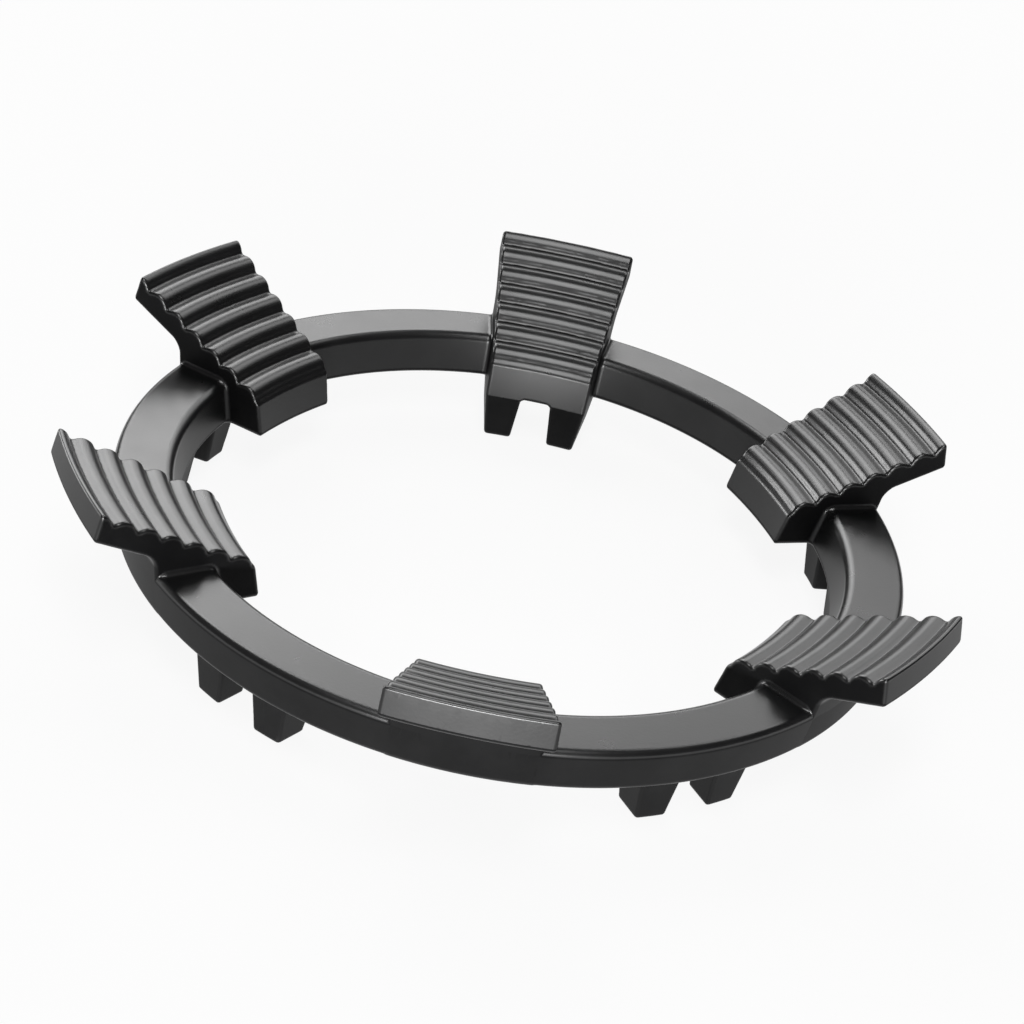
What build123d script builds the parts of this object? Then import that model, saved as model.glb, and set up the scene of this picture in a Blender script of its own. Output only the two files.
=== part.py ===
from build123d import *
import os
from math import cos, radians, sin, tan

# Wok stand: one cast iron piece. A tapered ring carries six ribbed arms
# that lean outward under the wok, and five forked feet that straddle the
# fingers of a hob grate. Millimetres, +Z up, foot tips on Z = 0.

# Ring
ring_radius = 100.0
ring_width = 14.8
ring_height = 11.4
wall_lean_out = 8.0
wall_lean_in = 11.9
ring_round = 1.9
ring_bevel = 1.3

# Arms: how far they run past the ring on each side, their width at the
# ring's outer edge, and the outer end's height above the ring and its depth
arm_count = 6
arm_inset = 13.5
arm_overhang = 15.7
arm_half = 17.45
arm_taper = 6.9
inner_lean = 13.0
under_slope = 25.0
tip_height = 12.2
tip_depth = 6.8
root_round = 3.0
end_bevel = 0.5
low_bevel = 1.3

# Ribs across the arms' upper faces, and where the outermost and innermost
# crests stand in from the arms' ends
rib_count = 7
rib_depth = 1.52
rib_flank = 1.4
rib_slope = 25.9
valley_width = 0.9
crest_lip = 0.8
outer_margin = 2.2
inner_margin = 5.2

# Feet: four forks under the ring and one under the back arm
foot_height = 12.7
foot_draft = 6.5
foot_half = 14.6
foot_inset = 2.8
foot_inset_in = 1.8
foot_bearings = (14.0, 166.0, 236.0, 304.0)
foot_bevel = 0.5
slot_half = 5.6
slot_draft = 4.8
slot_round = 1.2
back_bearing = 90.0
back_draft = 7.0
back_face_draft = 2.0
back_slot_half = 5.2

# How far cutting shapes run past what they cut, and how far the arm's stem
# is kept inside the ring's wall
overrun = 5.0
sink = 0.05

# Ring section, wider at the top than the bottom
ring_bottom = foot_height
ring_top = ring_bottom + ring_height
ring_inner = ring_radius - ring_width
wall_run = tan(radians(wall_lean_out))
bottom_outer = ring_radius - ring_height * wall_run
bottom_inner = ring_inner - ring_height * tan(radians(wall_lean_in))

# An arm's two sides meet on an upright line behind the ring's axis, and the
# arm is its section turned about that line from one side to the other. Its
# arcs are flatter than the ring's, by bow_gap at the arm's sides
hub = arm_half / tan(radians(arm_taper)) - ring_radius
hub_axis = Axis((-hub, 0, 0), (0, 0, 1))
along_side = Vector(1, 0, 0).rotate(Axis.Z, -arm_taper)
side_plane = Plane((-hub, 0, 0), along_side, along_side.rotate(Axis.Z, -90))
bow_gap = arm_half**2 / 2 * (1 / ring_radius - 1 / (ring_radius + hub))
reach = hub + ring_inner - arm_inset
tip = hub + ring_radius + arm_overhang

# Ribs on the slope: smooth humps between narrow flat valleys. A hump's
# middle rises three quarters as high as its two control points
slope = radians(rib_slope)
first_crest = (tip - outer_margin, ring_top + tip_height + tip_depth)
crest_gap = (first_crest[0] - reach - inner_margin) / (rib_count - 1) / cos(slope)
crest_half = (crest_gap - valley_width) / 2
hump_lift = rib_depth * 4 / 3


def on_rib(rib, along, rise):
    """Section point from its distance out from a rib's crest and above its valleys."""
    along -= rib * crest_gap
    rise -= rib_depth
    r = first_crest[0] + along * cos(slope) - rise * sin(slope)
    z = first_crest[1] + along * sin(slope) + rise * cos(slope)
    return (r, z)


def meet(point, slant, other, other_slant):
    """Where two lines of the section cross, each given as a point and dz / dr."""
    r = (other[1] - point[1] + slant * point[0] - other_slant * other[0]) / (slant - other_slant)
    return (r, point[1] + slant * (r - point[0]))


def soften(sketch, corner, turn, radius):
    """Rounds a corner that turns by so many degrees, in three flats that touch the round."""
    for share in (2, 4):
        outer = tan(radians(turn / share))
        inner = tan(radians(turn / share / 2))
        corners = sketch.vertices().sort_by_distance(corner)[: share // 2]
        chamfer(corners, radius * (outer - inner))


# Corners of the arm's section, whose stem stands just inside the ring's wall
outer_top = on_rib(0, crest_lip, rib_depth)
outer_low = (tip, ring_top + tip_height)
outer_base = (hub + bottom_outer - bow_gap - sink, ring_bottom)
root = meet(outer_low, tan(radians(under_slope)), outer_base, 1 / wall_run)
last_valley = on_rib(rib_count - 1, -crest_half, 0)
inner_low = (reach, ring_bottom)
inner_top = meet(last_valley, tan(slope), inner_low, 1 / tan(radians(inner_lean)))


def arm_section(bevel):
    """Section along an arm; a bevel breaks its inner bottom edge unless that is 0."""
    with BuildSketch(side_plane) as section:
        with BuildLine():
            crest = on_rib(0, 0, rib_depth)
            Line(outer_top, crest)
            Bezier(
                crest,
                on_rib(0, rib_flank / 4 - crest_half / 2, rib_depth),
                on_rib(0, rib_flank / 2 - crest_half, hump_lift / 2),
                on_rib(0, -crest_half, 0),
            )
            for rib in range(1, rib_count):
                Line(on_rib(rib - 1, -crest_half, 0), on_rib(rib, crest_half, 0))
                Bezier(
                    on_rib(rib, crest_half, 0),
                    on_rib(rib, crest_half - rib_flank, hump_lift),
                    on_rib(rib, rib_flank - crest_half, hump_lift),
                    on_rib(rib, -crest_half, 0),
                )
            Polyline(last_valley, inner_top, inner_low, outer_base, root, outer_low, outer_top)
        make_face()
        for corner in (outer_top, outer_low, inner_top):
            chamfer(section.vertices().sort_by_distance(corner)[0], end_bevel)
        soften(section, root, 90 - wall_lean_out - under_slope, root_round)
        chamfer(section.vertices().sort_by_distance(outer_base)[0], ring_bevel)
        if bevel:
            chamfer(section.vertices().sort_by_distance(inner_low)[0], bevel)
    return section.sketch


with BuildPart() as arm:
    revolve(arm_section(low_bevel), axis=hub_axis, revolution_arc=2 * arm_taper)


def slot_profile(half):
    """Section of a fork's slot across X: it narrows upward and its mouth is bevelled."""
    half_top = half - foot_height * tan(radians(slot_draft))
    half_bevel = half - foot_bevel * tan(radians(slot_draft))
    mouth = half + foot_bevel
    with BuildSketch(Plane.YZ) as slot:
        Polygon(
            (-mouth, -overrun),
            (mouth, -overrun),
            (mouth, 0),
            (half_bevel, foot_bevel),
            (half_top, ring_bottom),
            (-half_top, ring_bottom),
            (-half_bevel, foot_bevel),
            (-mouth, 0),
            align=None,
        )
        fillet(slot.vertices().group_by(Axis.Y)[-1], slot_round)
    return slot.sketch


# Fork under the ring, set in from the ring's bottom edges
fork_inner = bottom_inner + foot_inset_in
fork_outer = bottom_outer - foot_inset
base = Plane.XY.offset(ring_bottom)
with BuildPart() as fork:
    with BuildSketch(base):
        Circle(fork_outer)
        Circle(fork_inner, mode=Mode.SUBTRACT)
        with Locations((fork_outer, 0)):
            Rectangle(fork_outer, 2 * foot_half, mode=Mode.INTERSECT)
    extrude(amount=-foot_height)
    draft(fork.faces().filter_by(Axis.Z, reverse=True), -base, foot_draft)
    chamfer(fork.faces().sort_by(Axis.Z)[0].edges(), foot_bevel)
    extrude(slot_profile(slot_half), amount=fork_outer + overrun, mode=Mode.SUBTRACT)

# Back arm, which stands on a fork as wide and as deep as the arm is there.
# hub_half is half the distance between its sides' planes at the ring's axis
hub_half = hub * tan(radians(arm_taper))
with BuildPart() as back_arm:
    with BuildSketch(base):
        Polygon(
            (0, -hub_half),
            (ring_radius, -arm_half),
            (ring_radius, arm_half),
            (0, hub_half),
            align=None,
        )
        Circle(fork_outer, mode=Mode.INTERSECT)
        with Locations((-hub, 0)):
            Circle(reach, mode=Mode.SUBTRACT)
    extrude(amount=-foot_height)
    walls = back_arm.faces().filter_by(Axis.Z, reverse=True).sort_by(Axis.X)
    draft(walls[0], -base, back_face_draft)
    walls = back_arm.faces().filter_by(Axis.Z, reverse=True).sort_by(Axis.X)
    draft(walls[1:], -base, back_draft)
    chamfer(back_arm.faces().sort_by(Axis.Z)[0].edges(), foot_bevel)
    extrude(slot_profile(back_slot_half), amount=fork_outer + overrun, mode=Mode.SUBTRACT)
    revolve(arm_section(0), axis=hub_axis, revolution_arc=2 * arm_taper)

with BuildPart() as stand:
    with BuildSketch(Plane.XZ) as section:
        Polygon(
            (ring_inner, ring_top),
            (ring_radius, ring_top),
            (bottom_outer, ring_bottom),
            (bottom_inner, ring_bottom),
            align=None,
        )
        soften(section, (ring_inner, ring_top), 90 - wall_lean_in, ring_round)
        soften(section, (ring_radius, ring_top), 90 + wall_lean_out, ring_round)
        chamfer(section.vertices().group_by(Axis.Y)[0], ring_bevel)
    revolve(axis=Axis.Z)
    for turn in range(1, arm_count):
        add(arm.part, rotation=(0, 0, back_bearing + turn * 360 / arm_count))
    for bearing in foot_bearings:
        add(fork.part, rotation=(0, 0, bearing))
    add(back_arm.part, rotation=(0, 0, back_bearing))
stand.part.label = "wok_stand"
os.makedirs("parts", exist_ok=True)
export_step(stand.part, "parts/wok_stand.step")
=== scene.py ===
from math import cos, radians, sin, tan

import bpy
import numpy as np
from mathutils import Matrix, Vector


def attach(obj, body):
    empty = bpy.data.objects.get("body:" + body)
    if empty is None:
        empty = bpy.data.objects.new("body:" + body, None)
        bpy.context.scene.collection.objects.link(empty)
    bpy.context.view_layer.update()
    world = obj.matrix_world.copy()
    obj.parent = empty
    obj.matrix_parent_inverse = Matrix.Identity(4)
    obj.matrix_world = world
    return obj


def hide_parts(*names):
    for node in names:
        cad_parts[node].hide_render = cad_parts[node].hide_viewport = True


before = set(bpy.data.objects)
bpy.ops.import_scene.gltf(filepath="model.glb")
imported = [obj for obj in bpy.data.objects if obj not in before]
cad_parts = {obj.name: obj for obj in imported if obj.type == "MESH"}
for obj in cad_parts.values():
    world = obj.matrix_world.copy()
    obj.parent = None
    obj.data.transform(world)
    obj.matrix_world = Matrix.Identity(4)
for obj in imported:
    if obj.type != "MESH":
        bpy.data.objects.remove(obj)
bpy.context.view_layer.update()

# Floor: a sheet of white studio paper, far wider than the picture, laid flat under the feet.
# It is plain white to the eye and in the enamel, and keeps a faint soft shadow of the stand.
floor_half = 5.0
paper_white = (0.92, 0.92, 0.92, 1.0)
paper_rough = 0.5
grain_scale = 400.0
grain_detail = 3.0
grain_rough = 0.1
glow_white = (1.0, 1.0, 1.0, 1.0)
paper_glow = 0.9


class Shade:
    """A node socket that takes Python sums, each of which adds a Math node."""

    def __init__(self, tree, socket):
        self.tree = tree
        self.socket = socket

    @staticmethod
    def node(tree, kind, settings=None, **inputs):
        """A new node: its type, its settings, then its inputs by name or by place."""
        made = tree.nodes.new(kind)
        for name, value in (settings or {}).items():
            setattr(made, name, value)
        for name, value in inputs.items():
            if name.startswith("input_"):
                socket = made.inputs[int(name.removeprefix("input_"))]
            else:
                spoken = name.replace("_", " ")
                socket = next(s for s in made.inputs if s.enabled and s.name == spoken)
            if isinstance(value, Shade):
                tree.links.new(value.socket, socket)
            else:
                socket.default_value = value
        return made

    @classmethod
    def of(cls, tree, kind, output, settings=None, **inputs):
        """One output of a new node."""
        made = cls.node(tree, kind, settings, **inputs)
        return cls(tree, next(s for s in made.outputs if s.enabled and s.name == output))

    def maths(self, operation, first, second):
        """The result of a new Math node."""
        return Shade.of(self.tree, "ShaderNodeMath", "Value", {"operation": operation},
                        input_0=first, input_1=second)

    def __add__(self, other):
        return self.maths("ADD", self, other)

    def __radd__(self, other):
        return self.maths("ADD", other, self)

    def __sub__(self, other):
        return self.maths("SUBTRACT", self, other)

    def __rsub__(self, other):
        return self.maths("SUBTRACT", other, self)

    def __mul__(self, other):
        return self.maths("MULTIPLY", self, other)

    def __rmul__(self, other):
        return self.maths("MULTIPLY", other, self)

    def __abs__(self):
        return self.maths("ABSOLUTE", self, 0.0)

    def within(self):
        """The value held between 0 and 1."""
        made = self.maths("ADD", self, 0.0)
        made.socket.node.use_clamp = True
        return made


floor_mesh = bpy.data.meshes.new("floor")
floor_mesh.from_pydata(
    [(-floor_half, -floor_half, 0), (floor_half, -floor_half, 0),
     (floor_half, floor_half, 0), (-floor_half, floor_half, 0)],
    [], [(0, 1, 2, 3)])
floor = bpy.data.objects.new("floor", floor_mesh)
bpy.context.scene.collection.objects.link(floor)
paper = bpy.data.materials.new("studio_paper")
paper.use_nodes = True
paper_tree = paper.node_tree
paper_tree.nodes.clear()
grain = Shade.of(paper_tree, "ShaderNodeTexNoise", "Fac", Scale=grain_scale, Detail=grain_detail)
seen = [Shade.of(paper_tree, "ShaderNodeLightPath", name)
        for name in ("Is Camera Ray", "Is Glossy Ray", "Is Transmission Ray")]
direct = sum(seen).within()
matt = Shade.of(paper_tree, "ShaderNodeBsdfDiffuse", "BSDF",
                Color=paper_white, Roughness=paper_rough + grain_rough * grain)
bright = Shade.of(paper_tree, "ShaderNodeEmission", "Emission", Color=glow_white, Strength=1.0)
mixed = Shade.of(paper_tree, "ShaderNodeMixShader", "Shader",
                 input_0=paper_glow * direct, input_1=matt, input_2=bright)
Shade.node(paper_tree, "ShaderNodeOutputMaterial", Surface=mixed)
floor_mesh.materials.append(paper)

# The stand: one grey iron casting. A tapered ring carries six ribbed arms that lean
# outward and five forked feet, and every edge is rounded and every inner corner filleted,
# as the sand mould and the enamel leave them. Sizes in millimetres and degrees.
ring_radius = 100.0
ring_width = 14.8
ring_height = 11.4
wall_lean_out = 8.0
wall_lean_in = 11.9
ring_round = 1.9
low_round = 1.3

# The arms: how far they run past the ring, their width and slopes, and their outer end
arm_count = 6
back_bearing = 90.0
arm_inset = 13.5
arm_overhang = 15.7
arm_half = 17.45
arm_taper = 6.9
inner_lean = 13.0
under_slope = 25.0
tip_height = 12.2
tip_depth = 6.8
root_round = 2.2
edge_round = 0.85
arm_fillet = 1.3
arm_fillet_fade = 2.5

# The ribs across the arms' upper faces
rib_count = 7
rib_depth = 1.52
rib_flank = 1.4
rib_slope = 25.9
rib_ease = 0.55
valley_width = 0.9
crest_lip = 0.8
outer_margin = 2.2
inner_margin = 5.2

# The feet: four forks under the ring and one under the back arm
foot_height = 12.7
foot_draft = 6.5
foot_half = 14.6
foot_inset = 2.8
foot_inset_in = 1.8
foot_bearings = (14.0, 166.0, 236.0, 304.0)
foot_round = 0.8
foot_fillet = 1.2
foot_fillet_fade = 1.0
fork_top = 3 * foot_fillet
slot_half = 5.6
slot_draft = 4.8
back_draft = 7.0
back_face_draft = 2.0
back_slot_half = 5.2
back_fork_top = low_round * 1.5

# What follows from those sizes; hub is how far behind the ring's axis an arm's sides meet
ring_bottom = foot_height
ring_top = ring_bottom + ring_height
ring_inner = ring_radius - ring_width
lean_out = tan(radians(wall_lean_out))
lean_in = tan(radians(wall_lean_in))
bottom_outer = ring_radius - ring_height * lean_out
bottom_inner = ring_inner - ring_height * lean_in
taper_cos = cos(radians(arm_taper))
taper_sin = sin(radians(arm_taper))
hub = arm_half / tan(radians(arm_taper)) - ring_radius
reach = hub + ring_inner - arm_inset
tip = hub + ring_radius + arm_overhang
slope_cos = cos(radians(rib_slope))
slope_sin = sin(radians(rib_slope))
crest_out = tip - outer_margin
crest_up = ring_top + tip_height + tip_depth
crest_gap = (crest_out - reach - inner_margin) / (rib_count - 1) / slope_cos
crest_half = (crest_gap - valley_width) / 2
last_valley = (rib_count - 0.5) * crest_gap
end_lean = -(outer_margin - crest_lip * slope_cos) / (tip_depth + crest_lip * slope_sin)
fork_inner = bottom_inner + foot_inset_in
fork_outer = bottom_outer - foot_inset
sector = 2 * np.pi / arm_count

# One rib from its crest to the middle of the valley: half a smooth hump, its corners eased
hump_steps = 80
rib_steps = 160
ease_steps = 15
share = np.linspace(0.5, 1, hump_steps)
rest = 1 - share
shoulder = crest_half - rib_flank
hump_along = (-crest_half * rest**3 - 3 * shoulder * rest**2 * share
              + 3 * shoulder * rest * share**2 + crest_half * share**3)
hump_rise = 4 * rib_depth * share * rest
rib_along = np.linspace(0, crest_gap / 2, rib_steps)
rib_rise = np.mean([np.interp(np.abs(rib_along + ease), hump_along, hump_rise, right=0)
                    for ease in np.linspace(-rib_ease, rib_ease, ease_steps)], axis=0)
rib_fall = np.gradient(rib_rise, rib_along)


def both(a, b, radius):
    """Depth inside two shapes at once, the edge between them rounded."""
    past_a = np.maximum(a + radius, 0)
    past_b = np.maximum(b + radius, 0)
    return np.minimum(np.maximum(a, b), -radius) + np.hypot(past_a, past_b)


def either(a, b, radius):
    """Depth inside one shape or the other, the corner between them filleted."""
    return -both(-a, -b, radius)


def leaning(out, up, base, lean):
    """Distance past a wall that stands at base and runs out by lean for each step up."""
    return (out - base - lean * up) / np.sqrt(1 + lean**2)


def faded(radius, share):
    """A fillet that runs out to almost nothing as the share falls from 1 to 0."""
    least = 0.001
    return radius * np.clip(share, least, 1)


def arm_shape(x, y, z, wall):
    """An arm along X, open below, flush with the ring's outer wall."""
    out = np.hypot(x + hub, y)
    sides = np.abs(y) * taper_cos - (x + hub) * taper_sin
    along = (out - crest_out) * slope_cos + (z - crest_up) * slope_sin
    rise = rib_depth - (out - crest_out) * slope_sin + (z - crest_up) * slope_cos
    from_crest = np.abs((along + crest_gap / 2) % crest_gap - crest_gap / 2)
    ribbed = (along > -last_valley) & (along < 0)
    plain = np.where(along < 0, 0, rib_rise[0])
    height = np.where(ribbed, np.interp(from_crest, rib_along, rib_rise), plain)
    fall = np.where(ribbed, np.interp(from_crest, rib_along, rib_fall), 0)
    bed = (rise - height) / np.sqrt(1 + fall**2)
    outer_end = leaning(out, z - ring_top - tip_height, tip, end_lean)
    inner_end = -leaning(out, z - ring_bottom, reach, tan(radians(inner_lean)))
    above = z - ring_top - tip_height - tan(radians(under_slope)) * (out - tip)
    under = -above * cos(radians(under_slope))
    section = both(bed, outer_end, edge_round)
    section = both(section, either(under, wall, root_round), edge_round)
    section = both(section, inner_end, edge_round)
    return both(section, sides, edge_round)


def fork_shape(x, y, z, r):
    """A forked foot along X, up to a little way inside the ring."""
    drop = ring_bottom - z
    draft = tan(radians(foot_draft))
    inner = -leaning(r, drop, fork_inner, draft)
    outer = leaning(r, drop, fork_outer, -draft)
    ends = leaning(np.abs(y), drop, foot_half, -draft)
    block = both(both(inner, outer, foot_round), ends, foot_round)
    block = np.maximum(block, fork_inner / 2 - x)
    slot = leaning(np.abs(y), z, slot_half, -tan(radians(slot_draft)))
    fork = both(both(block, -z, foot_round), -slot, foot_round)
    return np.maximum(fork, z - ring_bottom - fork_top)


def back_fork_shape(x, y, z, r):
    """The fork under the back arm, as wide and as deep as the arm is there."""
    drop = ring_bottom - z
    out = np.hypot(x + hub, y)
    sides = np.abs(y) * taper_cos - (x + hub) * taper_sin
    sides = np.maximum(sides, sides + drop * tan(radians(back_draft)))
    inner = np.maximum(-leaning(out, drop, reach, tan(radians(back_face_draft))),
                       -leaning(out, -drop, reach, tan(radians(inner_lean))))
    outer = leaning(r, drop, fork_outer, -tan(radians(back_draft)))
    block = both(both(inner, outer, edge_round), sides, edge_round)
    block = np.maximum(block, -drop - back_fork_top)
    slot = leaning(np.abs(y), z, back_slot_half, -tan(radians(slot_draft)))
    slot = both(slot, -drop, foot_fillet)
    return both(both(block, -z, foot_round), -slot, foot_round)


def casting(x, y, z):
    """How far a point lies outside the casting."""
    r = np.hypot(x, y)
    outer = leaning(r, z - ring_top, ring_radius, lean_out)
    inner = -leaning(r, z - ring_top, ring_inner, lean_in)
    ring = both(both(outer, z - ring_top, ring_round), inner, ring_round)
    bearing = np.arctan2(y, x) - radians(back_bearing)
    turn = bearing - np.round(bearing / sector) * sector
    arms = arm_shape(r * np.cos(turn), r * np.sin(turn), z, outer)
    body = either(ring, arms, faded(arm_fillet, -outer / arm_fillet_fade))
    body = both(body, ring_bottom - z, low_round)
    fillet = faded(foot_fillet, ring_bottom + foot_fillet_fade - z)
    for foot in foot_bearings:
        c = cos(radians(foot))
        s = sin(radians(foot))
        body = either(body, fork_shape(c * x + s * y, c * y - s * x, z, r), fillet)
    return np.minimum(body, back_fork_shape(y, x, z, r))


# The skin: the surface where that distance is nothing, found on a fine grid, drawn onto
# the true surface, and thinned out where it is flat. The grid starts at a corner from which
# no flat face and no rib's crest lies on one of its levels.
pitch = 0.45
coarse_step = 4
low_corner = np.array([-112.1, -118.1, -1.3])
grid_size = np.array([224.0, 237.0, 46.5])
triangle_count = 190000
flat_cosine = 0.999
to_metres = 0.001
to_millimetres = 1000
counts = np.ceil(grid_size / pitch / coarse_step).astype(int)
middles = [coarse_step * np.arange(count) + (coarse_step - 1) / 2 for count in counts]
coarse = [low_corner[i] + pitch * middles[i] for i in range(3)]
field = casting(*np.meshgrid(*coarse, indexing="ij"))
for axis in range(3):
    field = np.repeat(field, coarse_step, axis)
near = np.argwhere(np.abs(field) < coarse_step * pitch)
field[tuple(near.T)] = casting(*(low_corner + pitch * near).T)
solid = field < 0

# One point in each cell that the surface crosses, at the mean of its edges' crossings
sides = [slice(None, -1), slice(1, None)]
corners = [(i, j, k) for i in (0, 1) for j in (0, 1) for k in (0, 1)]
filled = sum(solid[sides[i], sides[j], sides[k]].astype(np.int8) for i, j, k in corners)
crossed_cells = (filled > 0) & (filled < len(corners))
numbers = np.full(crossed_cells.shape, -1, np.int32)
numbers[crossed_cells] = np.arange(crossed_cells.sum())
at = np.argwhere(crossed_cells)
values = {c: field[at[:, 0] + c[0], at[:, 1] + c[1], at[:, 2] + c[2]] for c in corners}
middle = np.zeros((len(at), 3))
hits = np.zeros((len(at), 1))
for a in corners:
    for b in corners:
        if sum(b) == sum(a) + 1 and sum(abs(p - q) for p, q in zip(a, b)) == 1:
            crossed = (values[a] < 0) != (values[b] < 0)
            span = np.where(crossed, values[a] - values[b], 1)
            part = np.where(crossed, values[a] / span, 0)[:, None]
            middle += crossed[:, None] * (np.array(a) + part * (np.array(b) - np.array(a)))
            hits += crossed[:, None]
points = low_corner + pitch * (at + middle / hits)

# One face for each grid edge that the surface crosses, between the four cells round it
quads = []
for axis in range(3):
    before = [slice(1, -1)] * 3
    after = [slice(1, -1)] * 3
    before[axis] = slice(None, -1)
    after[axis] = slice(1, None)
    inside = solid[tuple(before)]
    beyond = solid[tuple(after)]
    u, v = [np.eye(3, dtype=int)[i] for i in range(3) if i != axis]
    for way in (False, True):
        found = np.argwhere((inside == way) & (beyond != way))
        found += [0 if i == axis else 1 for i in range(3)]
        round_edge = [found - u - v, found - v, found, found - u]
        if way == (axis == 1):
            round_edge.reverse()
        quads.append(np.stack([numbers[tuple(cell.T)] for cell in round_edge], 1))
quads = np.concatenate(quads)


def away(points):
    """The way out of the surface at each point, and how far outside it the point lies."""
    step = 0.01
    here = casting(*points.T)
    ahead = [casting(*(points + step * np.eye(3)[i]).T) for i in range(3)]
    return np.stack([there - here for there in ahead], 1) / step, here


def settle(points):
    """The points drawn onto the true surface."""
    rounds = 3
    least_steepness = 0.25
    for _ in range(rounds):
        uphill, here = away(points)
        steepness = np.maximum((uphill**2).sum(1, keepdims=True), least_steepness)
        shift = here[:, None] * uphill / steepness
        points = points - np.clip(shift, -pitch / 2, pitch / 2)
    return points


def outward(points):
    """The surface's direction at each point, of length 1."""
    uphill = away(points)[0]
    return uphill / np.linalg.norm(uphill, axis=1, keepdims=True)


points = settle(points)
rough_mesh = bpy.data.meshes.new("rough_casting")
rough_mesh.vertices.add(len(points))
rough_mesh.vertices.foreach_set("co", (to_metres * points).ravel())
rough_mesh.loops.add(quads.size)
rough_mesh.loops.foreach_set("vertex_index", quads.ravel())
rough_mesh.polygons.add(len(quads))
rough_mesh.polygons.foreach_set("loop_start", 4 * np.arange(len(quads)))
rough_mesh.update(calc_edges=True)
rough_mesh.validate()
rough = bpy.data.objects.new("rough_casting", rough_mesh)
bpy.context.scene.collection.objects.link(rough)

# Thinning keeps the points on the rims of the flat faces
facing = outward(points)
turned = [(facing[quads[:, 0]] * facing[quads[:, i]]).sum(1) for i in (1, 2, 3)]
flat = np.min(turned, axis=0) > flat_cosine
rim = np.intersect1d(quads[flat], quads[~flat])
free = np.setdiff1d(np.arange(len(points)), rim)
rough.vertex_groups.new(name="free").add(free.tolist(), 1.0, "REPLACE")
thin = rough.modifiers.new("thin", "DECIMATE")
thin.vertex_group = "free"
thin.ratio = triangle_count / (2 * len(quads))
thin.use_collapse_triangulate = True
thinned = rough.evaluated_get(bpy.context.evaluated_depsgraph_get())
stand_mesh = bpy.data.meshes.new_from_object(thinned)
bpy.data.objects.remove(rough)
stand_mesh.name = "stand_casting"
points = np.empty((len(stand_mesh.vertices), 3))
stand_mesh.vertices.foreach_get("co", points.ravel())
points = settle(to_millimetres * points)
stand_mesh.vertices.foreach_set("co", (to_metres * points).ravel())
stand_mesh.update()
stand_mesh.shade_smooth()
stand_mesh.normals_split_custom_set_from_vertices(outward(points))
stand = bpy.data.objects.new("stand_casting", stand_mesh)
bpy.context.scene.collection.objects.link(stand)

# Black enamel with a very fine grain all over. Its reflection is painted by facing: faces that lie
# flat, above and below, reflect fully, while the walls reflect hardly at all, a painted shade that
# darkens the walls and keeps the tops shining.
enamel_deep = (0.003, 0.003, 0.0032, 1.0)
enamel_thin = (0.008, 0.008, 0.0083, 1.0)
cloud_scale = 90.0
cloud_detail = 4.0
cloud_softness = 0.6
speck_scale = 1400.0
speck_detail = 2.0
speck_height = 0.0004
speck_strength = 0.03
sheen_mask_level = 1.8
sheen_mask_upward = 0.6
sheen_mask_unevenness = 0.1
wall_rough = 0.46
sheen_mask_smoothing = 0.22
shaded_wall_rough = 0.42
cloud_rough = 0.1
glossy_level = 1.0
shaded_wall_level = 0.05
enamel = bpy.data.materials.new("black_enamel")
enamel.use_nodes = True
tree = enamel.node_tree
tree.nodes.clear()
place = Shade.of(tree, "ShaderNodeTexCoord", "Object")
cloud = Shade.of(tree, "ShaderNodeTexNoise", "Fac",
                 Vector=place, Scale=cloud_scale, Detail=cloud_detail, Roughness=cloud_softness)
speck = Shade.of(tree, "ShaderNodeTexNoise", "Fac",
                 Vector=place, Scale=speck_scale, Detail=speck_detail)
colour = Shade.of(tree, "ShaderNodeMix", "Result", {"data_type": "RGBA"},
                  Factor=cloud, A=enamel_deep, B=enamel_thin)
specked = Shade.of(tree, "ShaderNodeBump", "Normal",
                   Strength=speck_strength, Distance=speck_height, Height=speck)
normal = Shade.of(tree, "ShaderNodeNewGeometry", "Normal")
lie = Shade.of(tree, "ShaderNodeSeparateXYZ", "Z", Vector=normal)
# Painted sheen and shade by facing: near 1 where a face lies flat, near 0 on the walls, with a
# little random unevenness
painted_sheen_mask = sheen_mask_level * abs(lie) + sheen_mask_upward * lie + sheen_mask_unevenness * (cloud - 0.5)
painted_sheen_mask = painted_sheen_mask.within()
glossy = Shade.of(tree, "ShaderNodeBsdfPrincipled", "BSDF", Base_Color=colour,
                  Roughness=wall_rough - sheen_mask_smoothing * painted_sheen_mask + cloud_rough * cloud,
                  Specular_IOR_Level=glossy_level, Normal=specked)
# The walls' finish, almost unreflecting: a painted shade, not a different enamel
shaded_wall_finish = Shade.of(tree, "ShaderNodeBsdfPrincipled", "BSDF", Base_Color=colour,
               Roughness=shaded_wall_rough + cloud_rough * cloud,
               Specular_IOR_Level=shaded_wall_level, Normal=specked)
finish = Shade.of(tree, "ShaderNodeMixShader", "Shader", input_0=painted_sheen_mask, input_1=shaded_wall_finish, input_2=glossy)
Shade.node(tree, "ShaderNodeOutputMaterial", Surface=finish)
stand_mesh.materials.append(enamel)
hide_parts("wok_stand")
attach(stand, "root")

# Studio: soft lamps on a circle round the stand, each given by its bearing, its height
# above the floor and its breadth in degrees, in an almost dark room.
lamp_distance = 1.6
lamp_aim = Vector((0, 0, 0.02))
room_white = (1.0, 1.0, 1.0, 1.0)
room_light = 0.03


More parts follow.
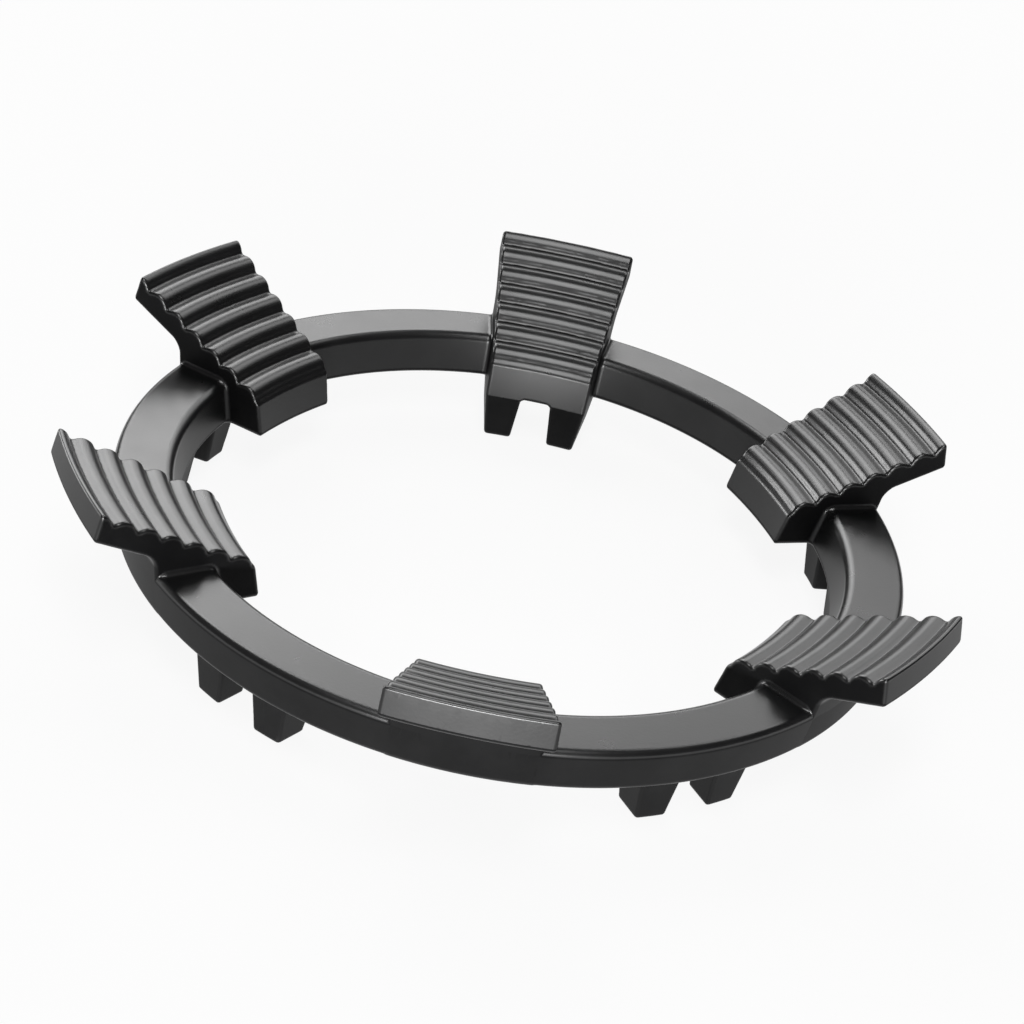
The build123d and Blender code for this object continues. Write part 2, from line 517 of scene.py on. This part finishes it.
def softbox(name, bearing, height, wide, tall, brightness):
    """A soft lamp that faces the stand; brightness 1 looks as white as the paper."""
    level = cos(radians(height))
    toward = Vector((cos(radians(bearing)) * level, sin(radians(bearing)) * level,
                     sin(radians(height))))
    lamp = bpy.data.lights.new(name, "AREA")
    lamp.shape = "RECTANGLE"
    lamp.size = 2 * lamp_distance * level * tan(radians(wide / 2))
    lamp.size_y = 2 * lamp_distance * tan(radians(tall / 2))
    lamp.energy = brightness * np.pi * lamp.size * lamp.size_y
    stood = bpy.data.objects.new(name, lamp)
    stood.location = lamp_distance * toward + lamp_aim
    stood.rotation_euler = toward.to_track_quat("Z", "Y").to_euler()
    bpy.context.scene.collection.objects.link(stood)


softbox("back_left_lamp", bearing=122, height=33, wide=44, tall=14, brightness=4.2)
softbox("back_lamp", bearing=92, height=33, wide=16, tall=14, brightness=3.2)
softbox("back_right_lamp", bearing=63, height=33, wide=42, tall=14, brightness=1.8)
softbox("high_left_lamp", bearing=120, height=48, wide=34, tall=16, brightness=4.4)
softbox("high_right_lamp", bearing=60, height=48, wide=30, tall=16, brightness=2.2)
softbox("low_back_lamp", bearing=101, height=20, wide=45, tall=12, brightness=2.2)
softbox("front_lamp", bearing=-90, height=66, wide=45, tall=40, brightness=5.0)
softbox("low_front_lamp", bearing=-90, height=5, wide=26, tall=9, brightness=48.0)
softbox("low_left_lamp", bearing=157, height=7, wide=22, tall=12, brightness=8.0)
room = bpy.data.worlds.new("room")
bpy.context.scene.world = room
room.use_nodes = True
room_shade = room.node_tree.nodes["Background"]
room_shade.inputs["Color"].default_value = room_white
room_shade.inputs["Strength"].default_value = room_light

# Camera: a long lens looking down on the stand from the front, turned a
# little about its own axis, as the picture is.
camera_at = (-0.0002, -0.5163, 0.341)
camera_tilt = 31.8
camera_roll = 11.78
focal_length = 85.0
sensor_width = 36.0
lens = bpy.data.cameras.new("camera")
lens.lens = focal_length
lens.sensor_width = sensor_width
camera = bpy.data.objects.new("camera", lens)
bpy.context.scene.collection.objects.link(camera)
camera.matrix_world = (Matrix.Translation(camera_at)
                       @ Matrix.Rotation(radians(90 - camera_tilt), 4, "X")
                       @ Matrix.Rotation(radians(camera_roll), 4, "Z"))
bpy.context.scene.camera = camera
bpy.context.scene.view_settings.view_transform = "Standard"
